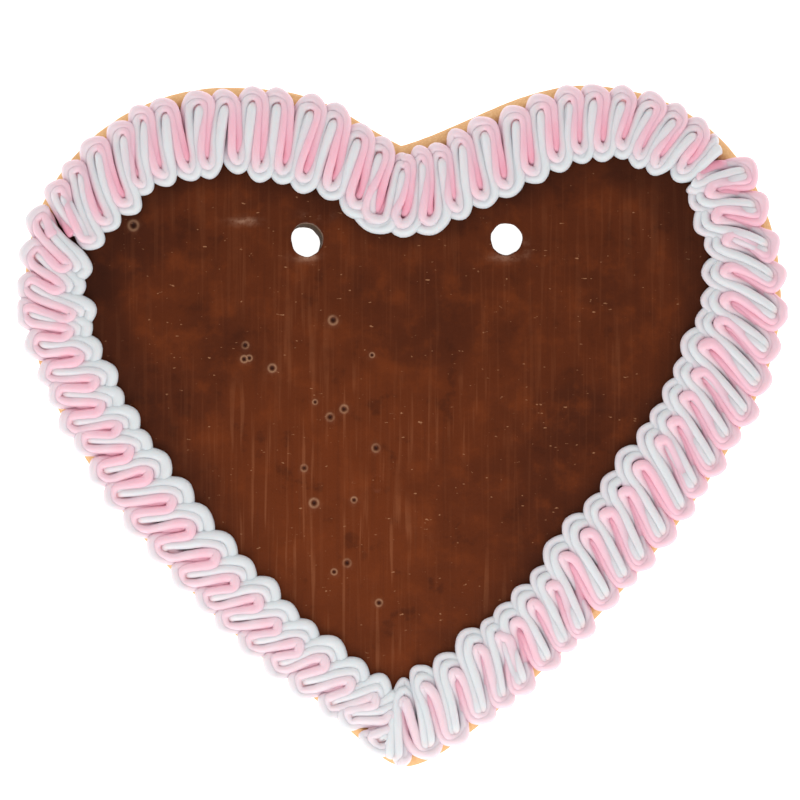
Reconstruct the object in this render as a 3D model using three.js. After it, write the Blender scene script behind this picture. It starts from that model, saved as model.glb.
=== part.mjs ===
// A heart of gingerbread that lies flat, with two ribbon holes and a two-colour icing border.
// Millimetres, +Z up. The heart lies on its flat underside: the lobes point along +Y, the tip
// along -Y, and the origin is under the middle of the bounding box.
import * as THREE from 'three';
import * as BufferGeometryUtils from 'three/addons/utils/BufferGeometryUtils.js';

// ---- Driving dimensions: the gingerbread ----

// Outline of the slab. Each side runs from the cleft over the lobe and the flank to the tip;
// the reaches are the lengths of the curve handles, the angles are in degrees off level.
const SLAB_OUTLINE = {
  cleft: [-0.5, 73.2],
  tip: [0.6, -89.3],
  right: {
    cleftReach: 14, cleftAngle: 14, lobeTop: [47, 88.9], lobeReachIn: 17, lobeReachOut: 30,
    widest: [98.9, 32.5], widestReachUp: 35, widestReachDown: 33,
    flank: [28.3, -71.6], flankAngle: 40, flankReachUp: 35, flankReachDown: 13, tipReach: 7,
  },
  left: {
    cleftReach: 18, cleftAngle: 27, lobeTop: [-46.4, 88.4], lobeReachIn: 27, lobeReachOut: 27,
    widest: [-98.9, 36], widestReachUp: 31, widestReachDown: 36,
    flank: [-27.4, -68.4], flankAngle: 36, flankReachUp: 36, flankReachDown: 13, tipReach: 7,
  },
};
const SLAB_THICKNESS = 9.5;
const SLAB_POINTS = 132;
const SHOULDER = 3.2;        // how far the flat upper face stands in from the outline
// How far the side stands in from the outline at each height: a rounded foot, a bulging side
// and a baked shoulder.
const SLAB_SIDE = [
  { height: 0, inset: 1.0 },
  { height: 1.5, inset: 0.1 },
  { height: 5.0, inset: 0.3 },
  { height: 8.2, inset: 1.5 },
  { height: SLAB_THICKNESS, inset: SHOULDER },
];
// The ribbon holes: the left one was punched at a slant, so its lower mouth is shifted.
const RIBBON_HOLES = [
  { centre: [-24.9, 48.5], radiusX: 4.1, radiusY: 4.4, slant: [-1.1, -1.3] },
  { centre: [26.9, 48.5], radiusX: 4.1, radiusY: 4.1, slant: [0.1, 0.2] },
];
const HOLE_POINTS = 20;
const HOLE_REACH = 6;        // the wall of a hole lies within this distance of its centre
const SAME_POINT = 1e-3;     // points closer than this are one point

// ---- Driving dimensions: the icing border ----

// Middle line of the border, described like the slab's outline.
const BORDER_LINE = {
  cleft: [-0.1, 60.9],
  tip: [0, -77.3],
  right: {
    cleftReach: 11, cleftAngle: 22, lobeTop: [54, 77.6], lobeReachIn: 16, lobeReachOut: 20.5,
    widest: [89.5, 39], widestReachUp: 19.5, widestReachDown: 29,
    flank: [24.5, -62.3], flankAngle: 40, flankReachUp: 35, flankReachDown: 9, tipReach: 6,
  },
  left: {
    cleftReach: 11, cleftAngle: 33, lobeTop: [-46, 76.6], lobeReachIn: 17, lobeReachOut: 22,
    widest: [-91.3, 36], widestReachUp: 20.5, widestReachDown: 27.5,
    flank: [-24.5, -62.2], flankAngle: 38, flankReachUp: 38, flankReachDown: 7.5, tipReach: 6,
  },
};
const BEND_SMOOTHING = 10;   // the strokes stand square to the border's run over this distance
const ICING_GAP = 0.3;       // air under the icing, and between two ropes
const STROKE_GAP = 0.35;     // crease between two strokes of a rope
const ICING_DROOP = 0.5;     // how steeply the outer bends sink over the slab's shoulder
const DROOP_START = 2.2;     // distance from the slab's outline at which they start to sink

// The three ropes, piped clockwise in hairpin loops. first and last are the places of their
// first and last outer bends, in mm along the middle line clockwise from the cleft; loops is the
// number of loops between them, and startTurn and endTurn are the loops that a rope adds at its
// ends. outer and inner are how far the loops reach out and in from the middle line, lag is how
// far the inner bends trail the outer ones, and drift is how far the loops run ahead of even
// spacing; each list is spread evenly along its rope.
const ROPES = {
  icing_top: {
    first: -94.6, last: 76.1, loops: 26, startTurn: -0.3, endTurn: 0.9,
    outer: [11.0, 11.6, 11.6, 12.6, 10.4, 9.8, 11.8, 11.8, 10.0],
    inner: [-10.4, -11.2, -12.2, -12.0, -13.6, -13.0, -10.6, -9.2, -8.8],
    lag: [6.2, 4.0, 0.6, -1.8, -1.4, 2.8, 1.6, 1.0, 0.2],
    drift: [0, 0, -1.2, -1.8, -0.4, 1.6, 2.4, 2.2, 0],
  },
  icing_right: {
    first: 91.2, last: 261.5, loops: 23, startTurn: -0.4, endTurn: 0.93,
    outer: [10.8, 11.0, 13.6, 13.2, 12.4, 11.6, 11.4, 11.2, 11.4],
    inner: [-9.6, -11.4, -12.4, -12.2, -12.8, -12.8, -11.4, -12.0, -12.0],
    lag: [2.6, 4.8, 5.8, 6.2, 5.6, 4.6, 3.8, 4.2, -1.0],
    drift: [0, 0.8, 2.8, 3.7, 3.3, 3.2, 3.1, 1.6, 0],
  },
  icing_left: {
    first: 274.4, last: 431.6, loops: 21, startTurn: -0.24, endTurn: 0.38,
    outer: [7.4, 9.0, 9.2, 9.8, 10.2, 9.6, 9.2, 9.0, 10.4],
    inner: [-9.8, -9.8, -10.6, -10.6, -10.6, -10.0, -10.2, -10.4, -9.2],
    lag: [4.0, 3.2, 4.0, 3.6, 2.2, 2.2, 1.6, 3.2, 5.4],
    drift: [0, -4.2, -2.4, -0.6, 3.2, 4.1, 2.2, 1.0, 0],
  },
};

// Shape of one loop, in shares of the loop's pitch: half the width of the hairpin at the outer
// bend and at the inner one (they add up to half a pitch), and the depth of each bend in mm.
const OUTER_BEND = { halfWidth: 0.21, depth: 1.7 };
const INNER_BEND = { halfWidth: 0.29, depth: 2.2 };
const BEND_SHARE = 0.15;     // share of a loop's travel that half of a bend takes
const OUTER_BEND_STEPS = 4;
const INNER_BEND_STEPS = 3;

// Section of the rope: side is -1 at the flank inside the outer bends and +1 at the flank
// inside the inner bends; height is above the rope's foot.
const ROPE_SECTION = [
  { side: -0.80, height: 0 },
  { side: -1.00, height: 1.7 },
  { side: -0.55, height: 4.3 },
  { side: 0.05, height: 3.6 },
  { side: 0.50, height: 4.5 },
  { side: 0.92, height: 3.1 },
  { side: 1.00, height: 1.5 },
  { side: 0.84, height: 0 },
];
const ROPE_TAPER = 0.22;     // share of a loop over which a rope's end thins out
const ROPE_TIP = 0.45;       // size of the rope at its very end
const HAND_WOBBLE = { pitch: 0.05, reach: 0.4, height: 0.06 };
const CLOSEST_SECTIONS = 0.03;   // sections stand no closer than this share of a loop at an end

// ---- Curves ----

function at(origin, x, y) {
  return new THREE.Vector2(origin[0] + x, origin[1] + y);
}

// The curves of one side, from the cleft to the tip; direction is 1 on the right, -1 on the left.
function sideCurves(outline, side, direction) {
  const { cleft, tip } = outline;
  const cleftAngle = THREE.MathUtils.degToRad(side.cleftAngle);
  const flankAngle = THREE.MathUtils.degToRad(side.flankAngle);
  const flankX = -direction * Math.cos(flankAngle);
  const flankY = -Math.sin(flankAngle);
  const cleftOut = at(cleft, direction * side.cleftReach * Math.cos(cleftAngle),
    side.cleftReach * Math.sin(cleftAngle));
  const flankIn = at(side.flank, -flankX * side.flankReachUp, -flankY * side.flankReachUp);
  const flankOut = at(side.flank, flankX * side.flankReachDown, flankY * side.flankReachDown);
  return [
    new THREE.CubicBezierCurve(at(cleft, 0, 0), cleftOut,
      at(side.lobeTop, -direction * side.lobeReachIn, 0), at(side.lobeTop, 0, 0)),
    new THREE.CubicBezierCurve(at(side.lobeTop, 0, 0),
      at(side.lobeTop, direction * side.lobeReachOut, 0),
      at(side.widest, 0, side.widestReachUp), at(side.widest, 0, 0)),
    new THREE.CubicBezierCurve(at(side.widest, 0, 0),
      at(side.widest, 0, -side.widestReachDown), flankIn, at(side.flank, 0, 0)),
    new THREE.CubicBezierCurve(at(side.flank, 0, 0), flankOut,
      at(tip, direction * side.tipReach, 0), at(tip, 0, 0)),
  ];
}

function reversed(curve) {
  return new THREE.CubicBezierCurve(curve.v3, curve.v2, curve.v1, curve.v0);
}

// The whole heart as one closed curve, clockwise from the cleft.
function heartCurve(outline) {
  const heart = new THREE.CurvePath();
  const left = sideCurves(outline, outline.left, -1).map(reversed).reverse();
  heart.curves.push(...sideCurves(outline, outline.right, 1), ...left);
  return heart;
}

// ---- Gingerbread ----

const slabCurve = heartCurve(SLAB_OUTLINE);
const slabPoints = slabCurve.getSpacedPoints(SLAB_POINTS).slice(0, -1);

// Distance from a point to the slab's outline, positive inside the heart.
function distanceFromEdge(x, y) {
  let nearest = Infinity;
  let inside = false;
  slabPoints.forEach((a, i) => {
    const b = slabPoints[(i + 1) % slabPoints.length];
    const alongX = b.x - a.x;
    const alongY = b.y - a.y;
    const share = ((x - a.x) * alongX + (y - a.y) * alongY) / (alongX ** 2 + alongY ** 2);
    const t = THREE.MathUtils.clamp(share, 0, 1);
    nearest = Math.min(nearest, Math.hypot(x - a.x - t * alongX, y - a.y - t * alongY));
    if ((a.y > y) !== (b.y > y) && x < a.x + (y - a.y) * alongX / alongY) inside = !inside;
  });
  return inside ? nearest : -nearest;
}

function slabShape() {
  const shape = new THREE.Shape(slabPoints);
  RIBBON_HOLES.forEach((hole) => {
    const rim = new THREE.Path();
    const [x, y] = hole.centre;
    rim.absellipse(x, y, hole.radiusX, hole.radiusY, 0, 2 * Math.PI, false);
    shape.holes.push(new THREE.Path(rim.getSpacedPoints(HOLE_POINTS).slice(0, -1)));
  });
  return shape;
}

function weld(geometry) {
  geometry.deleteAttribute('normal');
  geometry.deleteAttribute('uv');
  return BufferGeometryUtils.mergeVertices(geometry, SAME_POINT / 10);
}

// The slab is the outline extruded in steps, one for each height of the side's profile; then
// every point of the side is drawn in by the profile and every hole's wall is slanted.
function gingerbread() {
  const steps = SLAB_SIDE.length - 1;
  const geometry = weld(new THREE.ExtrudeGeometry(slabShape(), {
    depth: SLAB_THICKNESS, steps, bevelEnabled: false,
  }));
  const positions = geometry.getAttribute('position');
  for (let i = 0; i < positions.count; i += 1) {
    const x = positions.getX(i);
    const y = positions.getY(i);
    const level = Math.round(positions.getZ(i) / SLAB_THICKNESS * steps);
    const { height, inset } = SLAB_SIDE[level];
    const hole = RIBBON_HOLES.find(({ centre }) => (
      Math.hypot(x - centre[0], y - centre[1]) < HOLE_REACH));
    if (hole) {
      const depth = 1 - height / SLAB_THICKNESS;
      positions.setXYZ(i, x + hole.slant[0] * depth, y + hole.slant[1] * depth, height);
    } else {
      const point = slabPoints.findIndex((p) => Math.hypot(p.x - x, p.y - y) < SAME_POINT);
      const before = slabPoints.at(point - 1);
      const after = slabPoints[(point + 1) % slabPoints.length];
      const run = Math.hypot(after.x - before.x, after.y - before.y);
      const inX = (after.y - before.y) / run;
      const inY = -(after.x - before.x) / run;
      positions.setXYZ(i, x + inX * inset, y + inY * inset, height);
    }
  }
  return geometry;
}

// ---- Icing ----

const borderCurve = heartCurve(BORDER_LINE);
const borderLength = borderCurve.getLength();

function borderPoint(distance) {
  const share = distance / borderLength;
  return borderCurve.getPoint(share - Math.floor(share));
}

// A place in the border: distance along its middle line, and how far out from that line.
function borderPlace(distance, out) {
  const middle = borderPoint(distance);
  const before = borderPoint(distance - BEND_SMOOTHING);
  const after = borderPoint(distance + BEND_SMOOTHING);
  const run = after.distanceTo(before);
  const outX = -(after.y - before.y) / run;
  const outY = (after.x - before.x) / run;
  return new THREE.Vector2(middle.x + out * outX, middle.y + out * outY);
}

// Reads a list of evenly spread values at a share of its length, smoothly.
function spread(values, share) {
  const place = THREE.MathUtils.clamp(share, 0, 1) * (values.length - 1);
  const index = Math.min(Math.floor(place), values.length - 2);
  const blend = THREE.MathUtils.smoothstep(place - index, 0, 1);
  return THREE.MathUtils.lerp(values[index], values[index + 1], blend);
}

// Slow unevenness of the hand, between -1 and 1.
function wobble(turn, seed) {
  return 0.6 * Math.sin(2.3 * turn + seed) + 0.4 * Math.sin(5.1 * turn + 2.7 * seed);
}

// Where a line at the given offset to the left of the rope's middle runs, in one loop: along is
// in mm from the loop's outer bend, out is in mm from the middle line of the border.
function loopPlace(turn, offset, pitch, outer, inner) {
  const phase = turn - Math.round(turn);
  const outerHalf = OUTER_BEND.halfWidth * pitch;
  const innerHalf = INNER_BEND.halfWidth * pitch;
  const outerCentre = outer - OUTER_BEND.depth;
  const innerCentre = inner + INNER_BEND.depth;
  const side = Math.sign(phase) || 1;
  const travel = Math.abs(phase);
  if (travel <= BEND_SHARE) {
    const angle = travel / BEND_SHARE * Math.PI / 2;
    return {
      along: side * (outerHalf + offset) * Math.sin(angle),
      out: outerCentre + (OUTER_BEND.depth + offset) * Math.cos(angle),
    };
  }
  if (travel >= 0.5 - BEND_SHARE) {
    const angle = (0.5 - travel) / BEND_SHARE * Math.PI / 2;
    return {
      along: side * (pitch / 2 - (innerHalf - offset) * Math.sin(angle)),
      out: innerCentre - (INNER_BEND.depth - offset) * Math.cos(angle),
    };
  }
  const limb = (travel - BEND_SHARE) / (0.5 - 2 * BEND_SHARE);
  return {
    along: side * (outerHalf + offset),
    out: THREE.MathUtils.lerp(outerCentre, innerCentre, limb),
  };
}

// How much a place in a loop belongs to its outer bend: 1 at the bend's crown, 0 on the limbs.
function bendShare(turn) {
  const travel = Math.abs(turn - Math.round(turn)) / BEND_SHARE;
  return travel < 1 ? Math.cos(travel * Math.PI / 2) : 0;
}

// One point of the rope's skin.
function ropePoint(rope, seed, turn, corner) {
  const pitch = (rope.last - rope.first) / rope.loops;
  const share = turn / rope.loops;
  const toEnd = Math.min(turn - rope.startTurn, rope.loops + rope.endTurn - turn) / ROPE_TAPER;
  const size = THREE.MathUtils.lerp(ROPE_TIP, 1, THREE.MathUtils.smoothstep(toEnd, 0, 1));
  const outerHalf = OUTER_BEND.halfWidth * pitch;
  const innerHalf = INNER_BEND.halfWidth * pitch;
  const half = corner.side < 0 ? outerHalf : innerHalf;
  const offset = corner.side * (half - STROKE_GAP / 2) * size;
  const loop = Math.round(turn);
  const outerReach = spread(rope.outer, share) + HAND_WOBBLE.reach * wobble(loop, seed);
  const innerReach = spread(rope.inner, share) + HAND_WOBBLE.reach * wobble(turn, seed + 2);
  const outer = outerReach - innerHalf;
  const inner = innerReach + outerHalf;
  const place = loopPlace(turn, offset, pitch, outer, inner);
  const depth = (outer - place.out) / (outer - inner);
  const bend = rope.first + (loop + HAND_WOBBLE.pitch * wobble(turn, seed + 4)) * pitch;
  const along = bend + place.along - spread(rope.lag, share) * depth;
  const drift = spread(rope.drift, (along - rope.first) / (rope.last - rope.first));
  const spot = borderPlace(along + drift, place.out);
  const overhang = THREE.MathUtils.clamp(DROOP_START - distanceFromEdge(spot.x, spot.y), 0, SHOULDER);
  const foot = SLAB_THICKNESS + ICING_GAP - ICING_DROOP * bendShare(turn) * overhang;
  const swell = 1 + HAND_WOBBLE.height * wobble(turn, seed + 1);
  return new THREE.Vector3(spot.x, spot.y, foot + corner.height * size * swell);
}

// The turns at which a rope has a section: every step round its bends, none on the straights.
function ropeTurns(rope) {
  const begin = rope.startTurn;
  const end = rope.loops + rope.endTurn;
  const turns = [begin];
  for (let half = Math.floor(2 * begin); half <= Math.ceil(2 * end); half += 1) {
    const steps = half % 2 === 0 ? OUTER_BEND_STEPS : INNER_BEND_STEPS;
    for (let step = 0; step <= steps; step += 1) {
      const turn = half / 2 + (2 * step / steps - 1) * BEND_SHARE;
      if (turn > begin + CLOSEST_SECTIONS && turn < end - CLOSEST_SECTIONS) turns.push(turn);
    }
  }
  turns.push(end);
  return turns;
}

// A closed cylinder with a ring of points for each section, bent onto the rope's skin.
function icingRope(rope, seed) {
  const turns = ropeTurns(rope);
  const sides = ROPE_SECTION.length;
  const geometry = weld(new THREE.CylinderGeometry(1, 1, turns.length - 1, sides,
    turns.length - 1));
  const positions = geometry.getAttribute('position');
  for (let i = 0; i < positions.count; i += 1) {
    const x = positions.getX(i);
    const z = positions.getZ(i);
    const station = Math.round(positions.getY(i) + (turns.length - 1) / 2);
    const turn = turns[station];
    const point = new THREE.Vector3();
    if (Math.hypot(x, z) < 0.5) {
      ROPE_SECTION.forEach((corner) => point.add(ropePoint(rope, seed, turn, corner)));
      point.divideScalar(sides);
    } else {
      const index = (sides - Math.round(Math.atan2(x, z) / (2 * Math.PI) * sides)) % sides;
      point.copy(ropePoint(rope, seed, turn, ROPE_SECTION[index]));
    }
    positions.setXYZ(i, point.x, point.y, point.z);
  }
  return geometry;
}

// ---- The scene graph ----

const bakedDough = new THREE.MeshStandardMaterial({
  color: '#5a2a14', roughness: 0.55, metalness: 0,
});
const icing = new THREE.MeshStandardMaterial({
  color: '#f6d3db', roughness: 0.5, metalness: 0,
});

function node(name, geometry, material) {
  const mesh = new THREE.Mesh(geometry, material);
  mesh.name = name;
  return mesh;
}

const heart = new THREE.Group();
heart.add(node('gingerbread', gingerbread(), bakedDough));
Object.entries(ROPES).forEach(([name, rope], index) => {
  heart.add(node(name, icingRope(rope, index), icing));
});

export default heart;
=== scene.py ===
"""A glazed gingerbread heart with a piped border of pink and white icing, built in Blender.

Laid out as an add-on: one operator bakes the slab, one pipes the border, one sets the stage.
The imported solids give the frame; sizes below are in millimetres and meshes are in metres.
"""

import math

import bmesh
import bpy
import numpy as np
from bpy.props import FloatProperty, FloatVectorProperty, IntProperty, PointerProperty
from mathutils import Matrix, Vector, geometry, noise


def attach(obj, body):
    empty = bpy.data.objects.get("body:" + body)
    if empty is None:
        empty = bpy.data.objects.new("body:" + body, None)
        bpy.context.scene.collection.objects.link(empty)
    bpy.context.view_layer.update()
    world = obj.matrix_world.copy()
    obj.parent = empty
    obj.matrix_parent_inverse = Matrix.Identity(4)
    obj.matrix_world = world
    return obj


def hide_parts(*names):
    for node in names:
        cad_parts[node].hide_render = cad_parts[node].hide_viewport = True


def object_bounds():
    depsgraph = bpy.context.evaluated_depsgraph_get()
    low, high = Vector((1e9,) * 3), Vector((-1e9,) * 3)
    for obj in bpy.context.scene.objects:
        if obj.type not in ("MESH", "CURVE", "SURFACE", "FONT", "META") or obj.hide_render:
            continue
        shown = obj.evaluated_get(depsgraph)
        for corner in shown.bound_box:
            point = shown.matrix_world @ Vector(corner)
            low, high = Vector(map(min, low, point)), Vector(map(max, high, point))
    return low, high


bl_info = {
    "name": "Gingerbread heart",
    "version": (1, 0, 0),
    "blender": (4, 5, 0),
    "location": "3D View > Sidebar > Bakery",
    "description": "Bakes a glazed gingerbread heart and pipes its icing border",
    "category": "Add Mesh",
}

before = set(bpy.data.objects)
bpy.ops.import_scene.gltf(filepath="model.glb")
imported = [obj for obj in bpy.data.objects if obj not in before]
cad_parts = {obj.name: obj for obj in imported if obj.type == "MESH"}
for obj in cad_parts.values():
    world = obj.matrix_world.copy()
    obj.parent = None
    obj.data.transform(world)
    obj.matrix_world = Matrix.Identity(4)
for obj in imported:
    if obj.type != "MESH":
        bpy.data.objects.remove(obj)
CAD_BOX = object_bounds()
MM = 0.001

# ---- The slab's outline and profile, as in the solids (mm, degrees) ----

SLAB_OUTLINE = {
    "cleft": (-0.5, 73.2),
    "tip": (0.6, -89.3),
    "right": {
        "cleft_reach": 14, "cleft_angle": 14, "lobe_top": (47, 88.9),
        "lobe_reach_in": 17, "lobe_reach_out": 30,
        "widest": (98.9, 32.5), "widest_reach_up": 35, "widest_reach_down": 33,
        "flank": (28.3, -71.6), "flank_angle": 40, "flank_reach_up": 35,
        "flank_reach_down": 13, "tip_reach": 7,
    },
    "left": {
        "cleft_reach": 18, "cleft_angle": 27, "lobe_top": (-46.4, 88.4),
        "lobe_reach_in": 27, "lobe_reach_out": 27,
        "widest": (-98.9, 36), "widest_reach_up": 31, "widest_reach_down": 36,
        "flank": (-27.4, -68.4), "flank_angle": 36, "flank_reach_up": 36,
        "flank_reach_down": 13, "tip_reach": 7,
    },
}
SLAB_THICKNESS = 9.5
# About the height of the icing's upper strands.
ICING_TOP = 13.0
SHOULDER = 3.2
# Height and inset of the side: a rounded foot, a bulging side and a baked shoulder.
SLAB_SIDE = ((0, 1.0), (0.5, 0.5), (1.5, 0.12), (3.2, 0.1), (5.0, 0.3), (6.8, 0.7), (8.2, 1.5),
             (8.9, 2.05), (9.3, 2.6), (SLAB_THICKNESS, SHOULDER))
RIBBON_HOLES = (
    {"centre": (-24.9, 48.5), "radii": (4.1, 4.4), "slant": (-1.1, -1.3)},
    {"centre": (26.9, 48.5), "radii": (4.1, 4.1), "slant": (0.1, 0.2)},
)
# Depth below the face and how much wider the hole is there.
HOLE_LEVELS = ((0, 0.45), (0.12, 0.2), (0.4, 0.05), (1.2, 0), (2.6, 0.04), (4.2, -0.03),
               (5.8, 0.05), (7.4, 0), (8.8, 0.05), (9.3, 0.15), (SLAB_THICKNESS, 0.4))
OUTLINE_POINTS = 620
HOLE_POINTS = 72

# ---- The border: its middle line, as in the solids, and its three ropes ----

BORDER_LINE = {
    "cleft": (-0.1, 60.9),
    "tip": (0, -77.3),
    "right": {
        "cleft_reach": 11, "cleft_angle": 22, "lobe_top": (54, 77.6),
        "lobe_reach_in": 16, "lobe_reach_out": 20.5,
        "widest": (89.5, 39), "widest_reach_up": 19.5, "widest_reach_down": 29,
        "flank": (24.5, -62.3), "flank_angle": 40, "flank_reach_up": 35,
        "flank_reach_down": 9, "tip_reach": 6,
    },
    "left": {
        "cleft_reach": 11, "cleft_angle": 33, "lobe_top": (-46, 76.6),
        "lobe_reach_in": 17, "lobe_reach_out": 22,
        "widest": (-91.3, 36), "widest_reach_up": 20.5, "widest_reach_down": 27.5,
        "flank": (-24.5, -62.2), "flank_angle": 38, "flank_reach_up": 38,
        "flank_reach_down": 7.5, "tip_reach": 6,
    },
}
BORDER_POINTS = 4096
# "Out" is square to the chord from this many mm before a point to as many after it.
BEND_SMOOTHING = 10

# The bends of each rope as read off the photograph, in mm: how far along the border's
# middle line each lies, clockwise from the cleft, and how far out from it the icing's edge is.
# The inner bends lie before each outer one, and the left rope has one more after its last. The
# start is counted from the first outer bend and the end from the last one, in loops. Pinkness
# runs evenly from a rope's start to its end.
ROPES = {
    "icing_top": {
        "outer_along": (-94.4, -88.4, -81.8, -74.6, -68.9, -63.8, -56.1, -50.0, -43.6, -38.1,
                        -30.1, -24.0, -16.7, -10.2, -1.0, 6.0, 11.6, 17.7, 24.0, 32.6, 39.5,
                        46.4, 52.3, 58.6, 65.0, 70.7, 76.3, 82.8),
        "outer_edge": (10.8, 10.8, 11.6, 11.2, 12.2, 11.8, 11.5, 11.1, 12.4, 12.9, 13.2, 13.2,
                       11.0, 10.2, 10.0, 9.7, 8.6, 10.0, 11.0, 11.0, 11.8, 12.2, 11.8, 11.3,
                       10.8, 10.2, 9.9, 11.6),
        "inner_along": (-100.5, -98.6, -91.2, -82.9, -76.2, -69.2, -61.3, -55.0, -45.8, -38.9,
                        -32.2, -25.8, -17.9, -10.0, -5.5, 0.9, 5.8, 11.7, 19.1, 26.1, 34.4,
                        41.7, 48.3, 54.6, 60.5, 66.4, 72.5, 80.0),
        "inner_edge": (-8.0, -10.2, -10.9, -11.7, -9.8, -10.7, -11.8, -12.1, -11.1, -12.4, -11.6,
                       -12.1, -11.4, -12.7, -14.0, -12.2, -13.9, -12.7, -12.6, -12.0, -11.0,
                       -9.6, -8.7, -9.1, -8.3, -9.8, -10.0, -7.6),
        "start": -0.46, "end": -0.06,
        "pinkness": (1.0, 1.0),
    },
    "icing_right": {
        "outer_along": (90.2, 97.9, 107.2, 114.4, 122.5, 130.6, 138.7, 146.8, 154.1, 161.7,
                        168.8, 175.2, 183.5, 191.5, 197.9, 204.7, 214.5, 220.2, 226.5, 235.2,
                        241.0, 247.3, 255.4, 261.5, 268.0),
        "outer_edge": (11.6, 9.6, 9.6, 10.4, 12.2, 12.4, 13.2, 13.5, 12.2, 12.8, 11.8, 12.2,
                       12.4, 11.8, 11.2, 11.2, 11.8, 11.2, 11.2, 11.5, 10.9, 10.8, 11.4, 11.4,
                       13.2),
        "inner_along": (83.6, 90.4, 97.5, 105.1, 113.9, 122.4, 129.2, 136.8, 144.5, 151.6, 159.1,
                        165.2, 173.9, 181.8, 189.3, 196.7, 205.0, 213.3, 220.2, 227.2, 232.6,
                        239.2, 248.4, 257.5, 266.6),
        "inner_edge": (-9.6, -9.0, -10.8, -10.1, -11.8, -11.4, -11.4, -13.1, -12.0, -12.1, -11.5,
                       -11.9, -13.0, -12.5, -12.8, -13.4, -13.6, -11.2, -11.5, -11.2, -11.2,
                       -12.7, -11.6, -12.8, -11.8),
        "start": -0.46, "end": -0.02,
        "pinkness": (1.0, 1.0, 1.0, 0.85, 0.45),
    },
    "icing_left": {
        "outer_along": (270.8, 278.6, 284.3, 293.0, 301.0, 309.5, 317.9, 325.1, 333.7, 342.8,
                        352.1, 360.5, 367.7, 376.2, 382.1, 389.8, 395.7, 403.2, 410.7, 416.7,
                        423.9, 431.2),
        "outer_edge": (10.4, 8.2, 8.5, 9.1, 9.0, 9.3, 9.3, 9.1, 9.7, 9.6, 10.2, 10.3, 10.0, 9.2,
                       10.2, 9.3, 9.4, 10.0, 11.0, 9.9, 9.8, 11.4),
        "inner_along": (267.5, 270.4, 277.2, 285.2, 294.1, 301.9, 309.8, 317.5, 325.8, 334.1, 344.2,
                        352.6, 362.1, 369.8, 376.7, 383.8, 390.3, 398.3, 405.3, 409.9, 418.0,
                        424.0, 429.4),
        "inner_edge": (-2.5, -8.0, -9.9, -9.6, -10.1, -9.1, -9.5, -10.7, -9.9, -10.4, -10.5, -10.8,
                       -10.5, -9.5, -10.2, -9.2, -10.7, -9.8, -9.0, -10.9, -9.0, -10.0, -8.2),
        "start": -0.34, "end": 0.3,
        "pinkness": (0.35, 0.8, 1.0, 1.0, 0.95),
    },
}
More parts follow.
